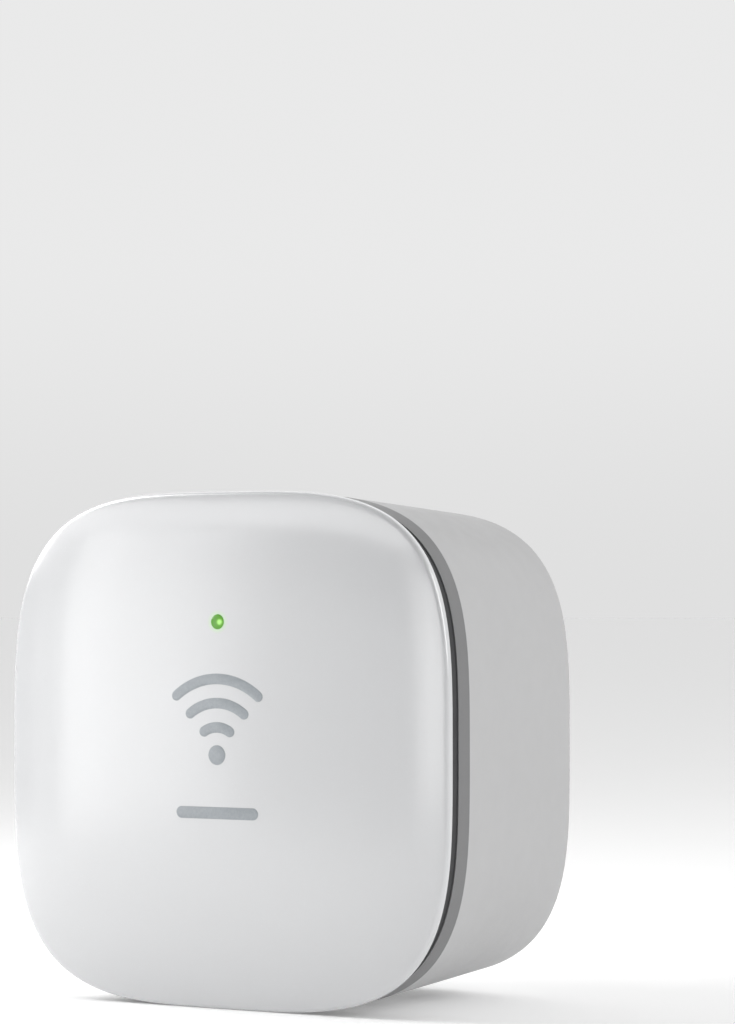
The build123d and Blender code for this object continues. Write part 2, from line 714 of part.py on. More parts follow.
# Eight contact wires, sloping along the front wall of the socket's hollow
wire_pitch = 1.02
wire_width = 0.46
wire_start_z = jack_mouth_z + 1.2
wire_end_z = jack_mouth_z + cavity_length - 0.1
with BuildPart() as contact_wire:
    with BuildSketch(Plane.YZ):
        with BuildLine():
            Polyline(
                (-cavity_front + 0.35, wire_start_z),
                (-cavity_front + 0.05, wire_start_z),
                (-cavity_front + 0.65, wire_end_z),
                (-cavity_front + 1.05, wire_end_z),
                close=True,
            )
        make_face()
    extrude(amount=wire_width / 2, both=True)
with BuildPart() as rj45_contacts:
    with GridLocations(wire_pitch, 0, 8, 1):
        add(contact_wire.part)
rj45_contacts.part.label = "rj45_contacts"
export_step(rj45_contacts.part, "parts/rj45_contacts.step")

# ---------------------------------------------------------------- buttons and switches
# Pairing button: its face follows the housing's side, its flange stays inside
button_skin = slab(back_half + 0.5, 0, housing_depth, housing_half + 0.5)
flange_face_x = -26.3
flange_thickness = 0.7
with BuildPart() as wps_button:
    with BuildSketch(Plane.YZ.offset(flange_face_x)):
        with Locations((-button_depth, button_z)):
            Circle(button_radius)
    extrude(amount=-6)
    add(button_skin, mode=Mode.INTERSECT)
    fillet(wps_button.faces().sort_by(Axis.X)[0].edges(), radius=0.35)
    with BuildSketch(Plane.YZ.offset(flange_face_x)):
        with Locations((-button_depth, button_z)):
            Circle(button_flange_radius)
    extrude(amount=flange_thickness)
wps_button.part.label = "wps_button"
export_step(wps_button.part, "parts/wps_button.step")

# Tactile switches: a body on the logic board, and the plunger that moves in it
switch_height = logic_back - 17.1
switch_length = 3.5
switch_width = 5.0
plunger_bore = plunger_radius + 0.1
plunger_reach = 1.5
wps_face_x = flange_face_x + flange_thickness + 0.05 + plunger_reach
with BuildPart() as wps_switch:
    with Locations((wps_face_x + switch_length / 2, -logic_back + switch_height / 2, button_z)):
        Box(switch_length, switch_height, switch_width)
    with Locations((wps_face_x, -button_depth, button_z)):
        Cylinder(plunger_bore, 4.0, rotation=(0, 90, 0), mode=Mode.SUBTRACT)
wps_switch.part.label = "wps_switch"
export_step(wps_switch.part, "parts/wps_switch.step")

with BuildPart() as wps_plunger:
    with BuildSketch(Plane.YZ.offset(wps_face_x - plunger_reach)):
        with Locations((-button_depth, button_z)):
            Circle(plunger_radius)
    extrude(amount=plunger_reach + 1.4)
wps_plunger.part.label = "wps_plunger"
export_step(wps_plunger.part, "parts/wps_plunger.step")

reset_face_z = -22.6
with BuildPart() as reset_switch:
    with Locations((reset_x, -logic_back + switch_height / 2, reset_face_z + switch_length / 2)):
        Box(switch_width, switch_height, switch_length)
    with Locations((reset_x, -button_depth, reset_face_z)):
        Cylinder(plunger_bore, 4.0, mode=Mode.SUBTRACT)
reset_switch.part.label = "reset_switch"
export_step(reset_switch.part, "parts/reset_switch.step")

with BuildPart() as reset_plunger:
    with BuildSketch(Plane.XY.offset(reset_face_z - plunger_reach)):
        with Locations((reset_x, -button_depth)):
            Circle(plunger_radius)
    extrude(amount=plunger_reach + 1.4)
reset_plunger.part.label = "reset_plunger"
export_step(reset_plunger.part, "parts/reset_plunger.step")

# ---------------------------------------------------------------- antennas and their leads
antenna_x, antenna_thickness, antenna_length = 26.0, 0.8, 21.0
antenna_back, antenna_front = 19.4, 26.0
lead_radius = 0.55
lead_depth = logic_front + 1.0
lead_start_x, lead_start_z = 10.75, 14.4
for side, sign in sides.items():
    with BuildPart() as antenna:
        with Locations((sign * antenna_x, -(antenna_back + antenna_front) / 2, antenna_z)):
            Box(antenna_thickness, antenna_front - antenna_back, antenna_length)
        fillet(antenna.edges().filter_by(Axis.X), radius=0.8)
    antenna.part.label = f"{side}_antenna"
    export_step(antenna.part, f"parts/{side}_antenna.step")

    # Thin coaxial lead: out of its plug, down beside the board's edge, to the antenna
    lead_points = [
        (sign * lead_start_x, -lead_depth, lead_start_z),
        (sign * 17.4, -lead_depth - 0.4, 13.8),
        (sign * 23.0, -lead_depth - 0.6, 9.0),
        (sign * 25.0, -lead_depth - 0.2, 2.5),
    ]
    with BuildPart() as coax:
        with BuildLine() as route:
            FilletPolyline(*lead_points, radius=6)
        with BuildSketch(Plane(route.line @ 0, z_dir=route.line % 0)):
            Circle(lead_radius)
        sweep()
    coax.part.label = f"{side}_coax"
    export_step(coax.part, f"parts/{side}_coax.step")

# Round crimped plugs on the board, one at the start of each lead
plug_radius = 1.1
plug_x = lead_start_x - plug_radius - 0.05
with BuildPart() as coax_plugs:
    with BuildSketch(Plane.XZ.offset(logic_front)):
        with Locations((-plug_x, lead_start_z), (plug_x, lead_start_z)):
            Circle(plug_radius)
    extrude(amount=1.7)
coax_plugs.part.label = "coax_plugs"
export_step(coax_plugs.part, "parts/coax_plugs.step")


# ---------------------------------------------------------------- screws
def screw_set(places, head_depth, head_radius, head_height, radius, length):
    """Cross-head screws driven from the wall side, all in one node."""
    with BuildPart() as screws:
        with BuildSketch(Plane.XZ.offset(head_depth - head_height)):
            with Locations(*places):
                Circle(head_radius)
        extrude(amount=head_height)
        fillet(screws.faces().group_by(Axis.Y)[-1].edges(), radius=head_height * 0.4)
        with BuildSketch(Plane.XZ.offset(head_depth - head_height)):
            with Locations(*places):
                Rectangle(head_radius * 1.2, head_radius * 0.3)
                Rectangle(head_radius * 0.3, head_radius * 1.2)
        extrude(amount=head_height * 0.7, mode=Mode.SUBTRACT)
        with BuildSketch(Plane.XZ.offset(head_depth)):
            with Locations(*places):
                Circle(radius)
        extrude(amount=length)
        chamfer(screws.faces().group_by(Axis.Y)[0].edges(), length=radius * 0.4)
    return screws.part


housing_screws = screw_set(
    post_places, screw_seat_depth, screw_head_radius, 1.4, screw_radius - 0.05, screw_length
)
housing_screws.label = "housing_screws"
export_step(housing_screws, "parts/housing_screws.step")

board_screws = screw_set(board_screw_places, logic_back, 1.6, 1.0, board_screw_radius, 4.6)
board_screws.label = "board_screws"
export_step(board_screws, "parts/board_screws.step")
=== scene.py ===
"""Looks of the wall-plug wifi range extender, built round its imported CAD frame.

Everything is in metres, in the CAD frame: +Y runs into the wall, +Z up, and a depth is
measured out from the wall, so a depth d lies at Y = -d.
"""

import json
from math import atan, cos, hypot, pi, radians, sin, sqrt

import bmesh
import bpy
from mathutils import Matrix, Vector


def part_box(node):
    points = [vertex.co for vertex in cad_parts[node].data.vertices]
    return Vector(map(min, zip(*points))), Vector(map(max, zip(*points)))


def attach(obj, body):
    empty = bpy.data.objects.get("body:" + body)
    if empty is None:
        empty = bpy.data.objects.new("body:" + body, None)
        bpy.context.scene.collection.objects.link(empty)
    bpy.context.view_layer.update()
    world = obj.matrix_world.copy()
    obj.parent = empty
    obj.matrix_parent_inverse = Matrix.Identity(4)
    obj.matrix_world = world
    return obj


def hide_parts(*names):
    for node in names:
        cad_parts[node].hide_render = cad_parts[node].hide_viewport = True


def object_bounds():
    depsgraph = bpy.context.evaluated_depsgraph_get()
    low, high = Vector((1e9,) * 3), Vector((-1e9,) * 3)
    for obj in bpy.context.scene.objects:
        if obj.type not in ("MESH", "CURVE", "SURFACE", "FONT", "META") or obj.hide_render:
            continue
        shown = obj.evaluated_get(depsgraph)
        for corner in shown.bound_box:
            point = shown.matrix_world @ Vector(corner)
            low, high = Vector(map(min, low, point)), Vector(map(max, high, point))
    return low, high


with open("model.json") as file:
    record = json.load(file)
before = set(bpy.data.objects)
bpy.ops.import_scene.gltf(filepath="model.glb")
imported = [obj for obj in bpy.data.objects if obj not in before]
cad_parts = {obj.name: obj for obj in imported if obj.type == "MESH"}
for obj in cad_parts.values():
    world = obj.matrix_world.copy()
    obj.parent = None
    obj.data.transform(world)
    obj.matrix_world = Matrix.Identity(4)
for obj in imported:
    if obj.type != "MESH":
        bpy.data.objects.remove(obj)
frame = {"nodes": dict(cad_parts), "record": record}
cad_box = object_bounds()
scene = bpy.context.scene
MM = 0.001

# Status light: the middle of its light pipe, and the pipe's radius
pipe_low, pipe_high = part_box("light_pipe")
LIGHT_PLACE = [(low + high) / 2 for low, high in zip(pipe_low, pipe_high)]
LIGHT_RADIUS = 0.8 * MM

# Point inside the body that the studio lights face
LIT_POINT = Vector((0, -0.02, 0))

# Most of a noise texture's values lie in this range
NOISE_LOW, NOISE_HIGH = 0.3, 0.7


# ---------------------------------------------------------------- mesh helpers
def bridge(mesh, first, second):
    """Joins two closed rings of the same number of points by a band of faces."""
    count = len(first)
    for i in range(count):
        j = (i + 1) % count
        mesh.faces.new((first[i], first[j], second[j], second[i]))


def finish_mesh(name, mesh, material, smooth_angle=35):
    """Turns a bmesh into a linked object with outward normals and its material."""
    bmesh.ops.recalc_face_normals(mesh, faces=mesh.faces)
    data = bpy.data.meshes.new(name)
    mesh.to_mesh(data)
    mesh.free()
    data.materials.append(material)
    data.shade_smooth()
    data.set_sharp_from_angle(angle=radians(smooth_angle))
    made = bpy.data.objects.new(name, data)
    scene.collection.objects.link(made)
    return made


# ---------------------------------------------------------------- camera and light
def add_camera():
    """Camera level with the horizon, seen 30.6 degrees round from the front."""
    azimuth = radians(30.6)
    distance = 0.4496
    eye_height = 0.01742
    data = bpy.data.cameras.new("photo_camera")
    data.lens = 127.9
    data.sensor_width = 36
    data.shift_y = 0.0859
    data.clip_start = 0.01
    data.clip_end = 20
    camera = bpy.data.objects.new("photo_camera", data)
    camera.location = (distance * sin(azimuth), -distance * cos(azimuth), eye_height)
    camera.rotation_euler = (pi / 2, 0, azimuth)
    scene.collection.objects.link(camera)
    scene.camera = camera


def add_softbox(name, azimuth, elevation, distance, size, power):
    """Rectangular area light facing the body, at angles in degrees round from its front and up."""
    turn, rise = radians(azimuth), radians(elevation)
    away = Vector((cos(rise) * sin(turn), -cos(rise) * cos(turn), sin(rise)))
    data = bpy.data.lights.new(name, "AREA")
    data.shape = "RECTANGLE"
    data.size, data.size_y = size
    data.energy = power
    light = bpy.data.objects.new(name, data)
    light.location = LIT_POINT + distance * away
    light.rotation_euler = (-away).to_track_quat("-Z", "Y").to_euler()
    light.visible_camera = False
    scene.collection.objects.link(light)


def add_world(low_front, low_back, high_front, high_back, far_floor):
    """Soft surroundings: low down and overhead, each with a strength in front and behind.

    At the horizon they meet the far floor's own tone, so that no line shows there. The
    limits below are parts of a unit direction: Y from front to back, Z from level to up.
    """
    side_blend = 0.35
    horizon_blend = 0.1
    overhead_from, overhead_to = 0.15, 0.5
    world = bpy.data.worlds.new("studio")
    world.use_nodes = True
    tree = world.node_tree

    def math_node(operation, *values):
        made = tree.nodes.new("ShaderNodeMath")
        made.operation = operation
        for socket, value in zip(made.inputs, values):
            if isinstance(value, (int, float)):
                socket.default_value = value
            else:
                tree.links.new(value, socket)
        return made.outputs["Value"]

    def smooth_step(value, low, high):
        made = tree.nodes.new("ShaderNodeMapRange")
        made.interpolation_type = "SMOOTHSTEP"
        made.inputs["From Min"].default_value = low
        made.inputs["From Max"].default_value = high
        tree.links.new(value, made.inputs["Value"])
        return made.outputs["Result"]

    direction = tree.nodes.new("ShaderNodeTexCoord")
    split = tree.nodes.new("ShaderNodeSeparateXYZ")
    tree.links.new(direction.outputs["Generated"], split.inputs["Vector"])
    behind = smooth_step(split.outputs["Y"], -side_blend, side_blend)
    low = math_node("MULTIPLY_ADD", behind, low_back - low_front, low_front)
    high = math_node("MULTIPLY_ADD", behind, high_back - high_front, high_front)
    above_floor = smooth_step(split.outputs["Z"], 0.0, horizon_blend)
    wall = math_node("MULTIPLY_ADD", above_floor, math_node("SUBTRACT", low, far_floor), far_floor)
    overhead = smooth_step(split.outputs["Z"], overhead_from, overhead_to)
    strength = math_node("MULTIPLY_ADD", overhead, math_node("SUBTRACT", high, wall), wall)
    tree.links.new(strength, tree.nodes["Background"].inputs["Strength"])
    tree.nodes["Background"].inputs["Color"].default_value = (1, 1, 1, 1)
    scene.world = world


def add_floor():
    """Wide flat disc of pale paper that the object stands on."""
    level = cad_box[0][2]
    mesh = bmesh.new()
    segments = 96
    middle = mesh.verts.new((0, 0, level))
    rings = []
    ring_radii = (0.3, 1.0, 2.5, 5.0, 9.0)
    for radius in ring_radii:
        turns = [2 * pi * i / segments for i in range(segments)]
        rings.append([mesh.verts.new((radius * cos(a), radius * sin(a), level)) for a in turns])
    for i in range(segments):
        mesh.faces.new((middle, rings[0][i], rings[0][(i + 1) % segments]))
    for inner, outer in zip(rings, rings[1:]):
        bridge(mesh, inner, outer)
    floor = finish_mesh("floor", mesh, plain_floor())


# ---------------------------------------------------------------- materials
class Shader:
    """A new material with its Principled shader, and short ways to add nodes to it."""

    def __init__(self, name, colour, roughness, metallic=0.0):
        self.material = bpy.data.materials.new(name)
        self.material.use_nodes = True
        self.tree = self.material.node_tree
        self.bsdf = self.tree.nodes["Principled BSDF"]
        self.colour = colour
        self.bsdf.inputs["Base Color"].default_value = (*colour, 1)
        self.bsdf.inputs["Roughness"].default_value = roughness
        self.bsdf.inputs["Metallic"].default_value = metallic

    def node(self, kind, **inputs):
        made = self.tree.nodes.new(kind)
        for key, value in inputs.items():
            made.inputs[key.replace("_", " ")].default_value = value
        return made

    def link(self, source, target):
        self.tree.links.new(source, target)

    def place(self, scale=(1, 1, 1)):
        """Object coordinates in metres, stretched by a scale."""
        coordinates = self.tree.nodes.new("ShaderNodeTexCoord")
        mapping = self.node("ShaderNodeMapping", Scale=scale)
        self.link(coordinates.outputs["Object"], mapping.inputs["Vector"])
        return mapping.outputs["Vector"]

    def noise(self, per_metre, detail=3.0, roughness=0.5, stretch=(1, 1, 1)):
        made = self.node("ShaderNodeTexNoise", Scale=per_metre, Detail=detail, Roughness=roughness)
        self.link(self.place(stretch), made.inputs["Vector"])
        return made.outputs["Fac"]

    def spread(self, value, low, high):
        """A noise value's usual range turned into low to high."""
        made = self.node("ShaderNodeMapRange")
        made.inputs["From Min"].default_value = NOISE_LOW
        made.inputs["From Max"].default_value = NOISE_HIGH
        made.inputs["To Min"].default_value = low
        made.inputs["To Max"].default_value = high
        self.link(value, made.inputs["Value"])
        return made.outputs["Result"]

    def near(self, place, full, gone):
        """1 within a distance of a place in the XZ plane, fading to 0 at another distance."""
        flat = self.node("ShaderNodeVectorMath")
        flat.operation = "MULTIPLY"
        flat.inputs[1].default_value = (1, 0, 1)
        self.link(self.place(), flat.inputs[0])
        away = self.node("ShaderNodeVectorMath")
        away.operation = "DISTANCE"
        away.inputs[1].default_value = (place[0], 0, place[2])
        self.link(flat.outputs["Vector"], away.inputs[0])
        fade = self.node("ShaderNodeMapRange")
        fade.interpolation_type = "SMOOTHSTEP"
        fade.inputs["From Min"].default_value = full
        fade.inputs["From Max"].default_value = gone
        fade.inputs["To Min"].default_value = 1.0
        fade.inputs["To Max"].default_value = 0.0
        self.link(away.outputs["Value"], fade.inputs["Value"])
        return fade.outputs["Result"]

    def vary_colour(self, value, share):
        """Base colour a little darker and lighter with a value."""
        mix = self.tree.nodes.new("ShaderNodeMix")
        mix.data_type = "RGBA"
        dark = [c * (1 - share) for c in self.colour]
        light = [min(1.0, c * (1 + share)) for c in self.colour]
        mix.inputs["A"].default_value = (*dark, 1)
        mix.inputs["B"].default_value = (*light, 1)
        self.link(self.spread(value, 0.0, 1.0), mix.inputs["Factor"])
        self.link(mix.outputs["Result"], self.bsdf.inputs["Base Color"])
        return mix.outputs["Result"]

    def vary_roughness(self, value, low, high):
        self.link(self.spread(value, low, high), self.bsdf.inputs["Roughness"])

    def bump(self, height, distance, strength=1.0):
        made = self.node("ShaderNodeBump", Strength=strength, Distance=distance)
        self.link(height, made.inputs["Height"])
        self.link(made.outputs["Normal"], self.bsdf.inputs["Normal"])


def plain_floor():
    """White paper with a faint even light of its own, which keeps the far floor pale."""
    shader = Shader("floor_paper", (0.9, 0.9, 0.9), 0.9)
    shader.bsdf.inputs["Emission Color"].default_value = (1, 1, 1, 1)
    shader.bsdf.inputs["Emission Strength"].default_value = 0.16
    shader.vary_colour(shader.noise(30), 0.006)
    return shader.material


def gloss_cover():
    """Polished white ABS: very fine grain, faint orange peel, and a painted green glow round the status
    light, mixed into the base colour.
    """
    white = (0.585, 0.59, 0.6)
    shader = Shader("cover_gloss_white", white, 0.27)
    shader.bsdf.inputs["Coat Weight"].default_value = 1.0
    shader.bsdf.inputs["Coat Roughness"].default_value = 0.14
    shader.bsdf.inputs["Coat IOR"].default_value = 1.8
    plastic = shader.vary_colour(shader.noise(14, 1), 0.005)
    # Painted light: the status light's green glow on the cover, painted into its base colour near the
    # light.
    painted_glow = shader.tree.nodes.new("ShaderNodeMix")
    painted_glow.data_type = "RGBA"
    painted_glow.inputs["B"].default_value = (0.53, 0.69, 0.48, 1)
    painted_glow_full, painted_glow_gone = 0.75 * MM, 1.5 * MM
    shader.link(shader.near(LIGHT_PLACE, painted_glow_full, painted_glow_gone), painted_glow.inputs["Factor"])
    shader.link(plastic, painted_glow.inputs["A"])
    shader.link(painted_glow.outputs["Result"], shader.bsdf.inputs["Base Color"])
    shader.vary_roughness(shader.noise(9000, 2), 0.266, 0.274)
    shader.bump(shader.noise(260, 1), 0.005 * MM, 0.12)
    return shader.material


def moulded(name, colour, low, high, grain=5200.0, depth=0.03 * MM, tone=0.03):
    """Spark-eroded moulded plastic: fine grain, uneven tone, roughness from low to high."""
    shader = Shader(name, colour, (low + high) / 2)
    shader.vary_colour(shader.noise(70, 4), tone)
    shader.vary_roughness(shader.noise(450, 4), low, high)
    shader.bump(shader.noise(grain, 3, 0.6), depth, 0.6)
    return shader.material


def metal(name, colour, low, high, stretch=(1, 1, 1), depth=0.008 * MM):
    """Plated or brushed metal: fine scratches along one way, roughness from low to high."""
    shader = Shader(name, colour, (low + high) / 2, 1.0)
    scratches = shader.noise(2600, 4, 0.65, stretch)
    shader.vary_colour(shader.noise(160, 3), 0.06)
    shader.vary_roughness(scratches, low, high)
    shader.bump(scratches, depth, 0.5)
    return shader.material


def circuit_board(name, mask, track):
    """Solder mask over tracks: rows of slightly raised, lighter copper."""
    shader = Shader(name, mask, 0.35)
    shader.bsdf.inputs["Coat Weight"].default_value = 0.4
    bricks = shader.tree.nodes.new("ShaderNodeTexBrick")
    bricks.inputs["Scale"].default_value = 260
    bricks.inputs["Mortar Size"].default_value = 0.028
    bricks.inputs["Color1"].default_value = (*mask, 1)
    bricks.inputs["Color2"].default_value = (*[c * 0.8 for c in mask], 1)
    bricks.inputs["Mortar"].default_value = (*track, 1)
    turned = shader.tree.nodes.new("ShaderNodeMapping")
    turned.inputs["Rotation"].default_value = (pi / 2, 0, 0)
    shader.link(shader.place(), turned.inputs["Vector"])
    shader.link(turned.outputs["Vector"], bricks.inputs["Vector"])
    shader.link(bricks.outputs["Color"], shader.bsdf.inputs["Base Color"])
    shader.vary_roughness(shader.noise(600), 0.28, 0.42)
    shader.bump(bricks.outputs["Fac"], 0.03 * MM, 0.6)
    return shader.material


def lit_green():
    """Clear green lens lit from inside: its own green glow, with painted shade deepening it at the rim
    and a painted highlight as a bright spot to one side.
    """
    highlight_aside, highlight_down = 0.33 * MM, 0.02 * MM
    highlight_full, highlight_gone = 0.08 * MM, 0.7 * MM
    shader = Shader("status_light_green", (0.03, 0.1, 0.012), 0.25)
    shader.bsdf.inputs["Coat Weight"].default_value = 0.3
    shader.bsdf.inputs["Specular IOR Level"].default_value = 0.3
    painted_highlight = (LIGHT_PLACE[0] + highlight_aside, LIGHT_PLACE[1], LIGHT_PLACE[2] - highlight_down)
    # Emission colour: the lens's own glow plus painted shade, dark green towards the rim, and a painted
    # highlight at a bright spot off to one side.
    ramp = shader.tree.nodes.new("ShaderNodeValToRGB")
    ramp.color_ramp.elements[0].color = (0.1, 0.3, 0.03, 1)
    ramp.color_ramp.elements[1].color = (0.65, 1.2, 0.36, 1)
    middle = ramp.color_ramp.elements.new(0.45)
    middle.color = (0.14, 0.4, 0.04, 1)
    shader.link(shader.near(painted_highlight, highlight_full, highlight_gone), ramp.inputs["Fac"])
    shader.link(ramp.outputs["Color"], shader.bsdf.inputs["Emission Color"])
    shader.bsdf.inputs["Emission Strength"].default_value = 0.8
    shader.vary_colour(shader.noise(900, 2), 0.15)
    shader.bump(shader.noise(700, 2), 0.01 * MM, 0.4)
    return shader.material


def printed_ink():
    """Grey pad-printed ink, with the slight mottling of its screen."""
    shader = Shader("print_grey", (0.30, 0.325, 0.345), 0.35)
    shader.bsdf.inputs["Coat Weight"].default_value = 0.6
    shader.vary_colour(shader.noise(2400, 4, 0.7), 0.07)
    shader.vary_roughness(shader.noise(1300, 3), 0.3, 0.42)
    shader.bump(shader.noise(5200, 2), 0.006 * MM, 0.5)
    return shader.material


def slot_materials():
    """One procedural material for each material slot of the record."""
    return {
        "gloss_white": gloss_cover(),
        "light_grey": moulded("housing_light_grey", (0.45, 0.45, 0.453), 0.5, 0.62, tone=0.012),
        "grey_trim": moulded("trim_mid_grey", (0.187, 0.187, 0.19), 0.36, 0.48, depth=0.02 * MM),
        "black_plastic": moulded("plastic_black", (0.018, 0.018, 0.02), 0.42, 0.56),
        "green_light": lit_green(),
        "pin_metal": metal("nickel_plate", (0.66, 0.64, 0.6), 0.18, 0.34, (1, 0.06, 1)),
        "contact_metal": metal("tinned_contact", (0.7, 0.67, 0.6), 0.3, 0.45),
        "contact_gold": metal("gold_flash", (0.86, 0.6, 0.22), 0.2, 0.32),
        "label_silver": moulded("label_film", (0.52, 0.53, 0.545), 0.34, 0.46, 2600, 0.01 * MM, 0.02),
        "board_tan": circuit_board("board_tan", (0.36, 0.24, 0.10), (0.24, 0.15, 0.06)),
        "board_green": circuit_board("board_green", (0.010, 0.085, 0.035), (0.03, 0.19, 0.08)),
        "capacitor_sleeve": moulded("capacitor_sleeve", (0.02, 0.024, 0.035), 0.18, 0.3, 900),
        "ferrite": moulded("ferrite_grey", (0.05, 0.05, 0.053), 0.5, 0.7, 3200, 0.05 * MM),
        "yellow_tape": moulded("winding_tape", (0.72, 0.5, 0.06), 0.3, 0.42, 1500),
        "disc_coat": moulded("dipped_blue", (0.02, 0.08, 0.33), 0.28, 0.42, 700, 0.06 * MM),
        "film": moulded("insulating_film", (0.68, 0.66, 0.58), 0.3, 0.4, 800),
        "tin_plate": metal("tin_plate", (0.72, 0.72, 0.7), 0.22, 0.4, (1, 1, 0.08)),
        "thermal_pad": moulded("thermal_pad", (0.28, 0.31, 0.36), 0.75, 0.88, 1400, 0.08 * MM),
        "aluminium": metal("sink_aluminium", (0.8, 0.81, 0.82), 0.3, 0.48, (1, 1, 0.05)),
        "capacitor_ceramic": moulded("ceramic_tan", (0.42, 0.27, 0.15), 0.35, 0.5, 3000),
        "chip_black": moulded("chip_epoxy", (0.022, 0.022, 0.025), 0.55, 0.7, 4200),
        "plunger_brown": moulded("plunger_brown", (0.055, 0.03, 0.02), 0.4, 0.55),
        "coax_jacket": moulded("coax_jacket", (0.03, 0.03, 0.032), 0.4, 0.5, 2400),
        "screw_steel": metal("zinc_plate", (0.6, 0.6, 0.62), 0.28, 0.46),
    }


def dress_cad_nodes(materials):
    """Gives each CAD node its slot's material, with smooth faces and crisp edges."""
    crisp_from = radians(32)
    for entry in frame["record"]["subparts"]:
        node = frame["nodes"][entry["node"]]
        node.data.materials.clear()
        node.data.materials.append(materials[entry["material_slot"]])
        for polygon in node.data.polygons:
            polygon.material_index = 0
        node.data.shade_smooth()
        node.data.set_sharp_from_angle(angle=crisp_from)


# ---------------------------------------------------------------- front cover's surface
# The same outline, crown, shoulder and rim as the CAD cover that this one replaces
OUTLINE_EXPONENT = 3.6
CENTRE_EXPONENT = 2.2
RIM_HALF = 30.0 * MM
RIM_DEPTH = 31.9 * MM
RIM_SIDE = 0.45 * MM
SHOULDER_RADIUS = 0.6 * MM
CROWN_RISE = 1.25 * MM
EDGE_SHARE = 0.6
EDGE_POWER = 8
EDGE_SLOPE = atan(CROWN_RISE * (2 * (1 - EDGE_SHARE) + EDGE_POWER * EDGE_SHARE) / RIM_HALF)
SHOULDER_TURN = pi / 2 - EDGE_SLOPE
FACE_HALF = RIM_HALF - SHOULDER_RADIUS * (1 - cos(SHOULDER_TURN))
FACE_EDGE_DEPTH = RIM_DEPTH + RIM_SIDE + SHOULDER_RADIUS * sin(SHOULDER_TURN)
CROWN_DEPTH = FACE_EDGE_DEPTH + CROWN_RISE
COVER_WALL = 1.2 * MM
SKIRT_HALF = 28.0 * MM
SKIRT_BACK = 31.1 * MM


def face_depth(share):
    """Depth of the cover's face, from its middle (0) to its shoulder (1)."""
    fall = (1 - EDGE_SHARE) * share**2 + EDGE_SHARE * share**EDGE_POWER
    return CROWN_DEPTH - CROWN_RISE * fall


def face_exponent(share):
    """Superellipse power of the face's rings: rounder in the middle, squarer at the shoulder."""
    return CENTRE_EXPONENT + (OUTLINE_EXPONENT - CENTRE_EXPONENT) * share


def outline_point(half, angle, exponent, depth):
    """Point on a superellipse of a half width, at an angle round from +X."""
    x, z = cos(angle), sin(angle)
    reach = half / (abs(x) ** exponent + abs(z) ** exponent) ** (1 / exponent)
    return Vector((reach * x, -depth, reach * z))


def depth_at(x, z):
    """Depth of the face in front of a point, by halving the range of its share."""
    low, high = 0.0, 1.0
    halvings = 30
    for _ in range(halvings):
        share = (low + high) / 2
        power = face_exponent(share)
        reach = (abs(x) ** power + abs(z) ** power) ** (1 / power)
        if reach > FACE_HALF * share:
            low = share
        else:
            high = share
    return face_depth(share)


def ring_of(mesh, half, exponent, depth, segments):
    """New points round a superellipse at a depth."""
    return [
        mesh.verts.new(outline_point(half, 2 * pi * i / segments, exponent, depth))
        for i in range(segments)
    ]


def build_cover(material):
    """Front cover: domed face, rounded shoulder, rim, and the hollow with its skirt."""
    segments = 288
    mesh = bmesh.new()
    rings = []
    face_rings = 56
    crowding = 0.8
    for step in range(1, face_rings + 1):
        share = (step / face_rings) ** crowding
        rings.append(ring_of(mesh, FACE_HALF * share, face_exponent(share), face_depth(share), segments))
    shoulder_steps = 10
    for step in range(1, shoulder_steps + 1):
        turn = SHOULDER_TURN * (1 - step / shoulder_steps)
        half = RIM_HALF - SHOULDER_RADIUS * (1 - cos(turn))
        depth = RIM_DEPTH + RIM_SIDE + SHOULDER_RADIUS * sin(turn)
        rings.append(ring_of(mesh, half, OUTLINE_EXPONENT, depth, segments))
    hollow_half = SKIRT_HALF - COVER_WALL
    edge = 0.12 * MM
    back_profile = [
        (RIM_HALF, RIM_DEPTH + edge),
        (RIM_HALF - edge, RIM_DEPTH),
        (SKIRT_HALF, RIM_DEPTH),
        (SKIRT_HALF, SKIRT_BACK),
        (hollow_half, SKIRT_BACK),
        (hollow_half, FACE_EDGE_DEPTH - COVER_WALL),
    ]
    for half, depth in back_profile:
        rings.append(ring_of(mesh, half, OUTLINE_EXPONENT, depth, segments))
    hollow_shares = (0.9, 0.75, 0.55, 0.35, 0.15)
    for share in hollow_shares:
        depth = face_depth(share) - COVER_WALL
        rings.append(ring_of(mesh, hollow_half * share, face_exponent(share), depth, segments))
    for first, second in zip(rings, rings[1:]):
        bridge(mesh, first, second)
    front = mesh.verts.new((0, -CROWN_DEPTH, 0))
    back = mesh.verts.new((0, -(CROWN_DEPTH - COVER_WALL), 0))
    for i in range(segments):
        j = (i + 1) % segments
        mesh.faces.new((front, rings[0][i], rings[0][j]))
        mesh.faces.new((back, rings[-1][j], rings[-1][i]))
    cover = finish_mesh("front_cover_gloss", mesh, material)
    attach(cover, "housing")
    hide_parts("front_cover")


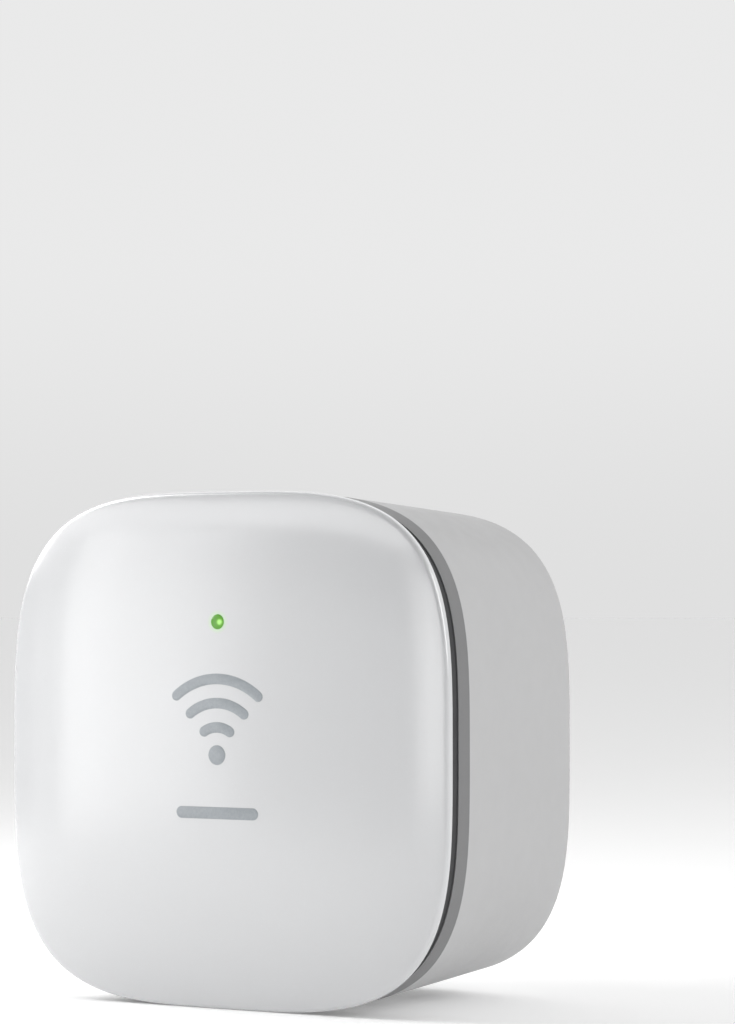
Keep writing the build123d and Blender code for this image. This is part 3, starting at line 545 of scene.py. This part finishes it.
def build_light_lens(material):
    """Low domed lens on the light pipe's tip, set into the cover."""
    overlap = 0.08 * MM
    radius = LIGHT_RADIUS + overlap
    rise, sunk = 0.13 * MM, 0.05 * MM
    segments, steps = 48, 12
    mesh = bmesh.new()
    rings = []
    profile = [(radius, -sunk)]
    for step in range(steps):
        turn = step / steps * pi / 2
        profile.append((radius * cos(turn), rise * sin(turn)))
    for reach, lift in profile:
        ring = []
        for i in range(segments):
            angle = 2 * pi * i / segments
            x = reach * cos(angle)
            z = LIGHT_PLACE[2] + reach * sin(angle)
            ring.append(mesh.verts.new((x, -depth_at(x, z) - lift, z)))
        rings.append(ring)
    for first, second in zip(rings, rings[1:]):
        bridge(mesh, first, second)
    tip = mesh.verts.new((0, -depth_at(0, LIGHT_PLACE[2]) - rise, LIGHT_PLACE[2]))
    foot = mesh.verts.new((0, -depth_at(0, LIGHT_PLACE[2]) + sunk, LIGHT_PLACE[2]))
    for i in range(segments):
        j = (i + 1) % segments
        mesh.faces.new((tip, rings[-1][i], rings[-1][j]))
        mesh.faces.new((foot, rings[0][j], rings[0][i]))
    lens = finish_mesh("status_light_lens", mesh, material)
    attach(lens, "housing")


# ---------------------------------------------------------------- printed mark
def printed_strip(name, material, centre_line, widths):
    """Thin raised ink: a strip of a given half width along a line on the face."""
    raised, edge_raised, sunk = 0.035 * MM, 0.014 * MM, 0.08 * MM
    across = 6
    mesh = bmesh.new()
    top, bottom = [], []
    count = len(centre_line)
    for i, (x, z) in enumerate(centre_line):
        before = centre_line[max(i - 1, 0)]
        after = centre_line[min(i + 1, count - 1)]
        run = (after[0] - before[0], after[1] - before[1])
        length = hypot(*run)
        side = (-run[1] / length, run[0] / length)
        top_row, bottom_row = [], []
        for k in range(across + 1):
            offset = widths[i] * (2 * k / across - 1)
            px, pz = x + side[0] * offset, z + side[1] * offset
            depth = depth_at(px, pz)
            inside = 0 < k < across and 0 < i < count - 1
            lift = raised if inside else edge_raised
            top_row.append(mesh.verts.new((px, -depth - lift, pz)))
            bottom_row.append(mesh.verts.new((px, -depth + sunk, pz)))
        top.append(top_row)
        bottom.append(bottom_row)
    for i in range(count - 1):
        for k in range(across):
            mesh.faces.new((top[i][k], top[i][k + 1], top[i + 1][k + 1], top[i + 1][k]))
            mesh.faces.new((bottom[i][k], bottom[i + 1][k], bottom[i + 1][k + 1], bottom[i][k + 1]))
        for k in (0, across):
            mesh.faces.new((top[i][k], top[i + 1][k], bottom[i + 1][k], bottom[i][k]))
    for i in (0, count - 1):
        for k in range(across):
            mesh.faces.new((top[i][k], bottom[i][k], bottom[i][k + 1], top[i][k + 1]))
    strip = finish_mesh(name, mesh, material, 50)
    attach(strip, "housing")


def rounded_widths(line, half_width):
    """Half widths along a line, drawn in at both ends to half circles with narrow tips."""
    tip = 0.05 * half_width
    gone = [0.0]
    for first, second in zip(line, line[1:]):
        gone.append(gone[-1] + hypot(second[0] - first[0], second[1] - first[1]))
    total = gone[-1]
    widths = []
    for reach in gone:
        short = max(half_width - min(reach, total - reach), 0.0)
        widths.append(max(sqrt(max(half_width**2 - short**2, 0.0)), tip))
    return widths


def eased(count):
    """Steps from 0 to 1, closer together near both ends."""
    return [(1 - cos(pi * i / count)) / 2 for i in range(count + 1)]


def build_mark(material):
    """Generic signal mark: a dot, three arcs over it, and a plain bar beneath."""
    foot_z = -0.6 * MM
    arc_half_width = 0.62 * MM
    arc_radii = (3.3 * MM, 6.1 * MM, 8.9 * MM)
    spread = radians(43)
    for number, radius in enumerate(arc_radii, start=1):
        line = []
        for share in eased(64):
            angle = spread * (1 - 2 * share)
            line.append((-radius * sin(angle), foot_z + radius * cos(angle)))
        printed_strip(f"print_arc_{number}", material, line, rounded_widths(line, arc_half_width))
    dot_radius, dot_z = 1.15 * MM, -0.5 * MM
    line = [(dot_radius * (2 * share - 1), dot_z) for share in eased(32)]
    printed_strip("print_dot", material, line, rounded_widths(line, dot_radius))
    bar_reach, bar_half_width, bar_z = 5.6 * MM, 0.7 * MM, -7.2 * MM
    line = [(bar_reach * (2 * share - 1), bar_z) for share in eased(48)]
    printed_strip("print_bar", material, line, rounded_widths(line, bar_half_width))


# ---------------------------------------------------------------- the scene
add_camera()
add_world(low_front=0.14, low_back=0.82, high_front=0.0, high_back=1.25, far_floor=0.745)
# Angles in degrees, distances and sizes in metres, power in watts. The strips are small
# and weak: they are there for their reflections in the glossy cover.
add_softbox("left", -70, 32, 0.28, (0.16, 0.2), 0.74)
add_softbox("left_strip", -45, 5, 0.3, (0.08, 0.12), 0.019)
add_softbox("left_front_strip", -37, 5, 0.3, (0.06, 0.11), 0.038)
add_softbox("front_left_strip", -8, 4, 0.3, (0.035, 0.09), 0.0124)
add_softbox("front_strip", -1, 4, 0.3, (0.05, 0.09), 0.024)
add_softbox("top_strip", -28, 21, 0.3, (0.22, 0.05), 0.06)
add_softbox("right", 84, 22, 1.2, (0.6, 0.72), 5.5)
add_floor()

slot_material = slot_materials()
dress_cad_nodes(slot_material)
build_cover(slot_material["gloss_white"])
build_light_lens(slot_material["green_light"])
build_mark(printed_ink())

scene.view_settings.view_transform = "Standard"
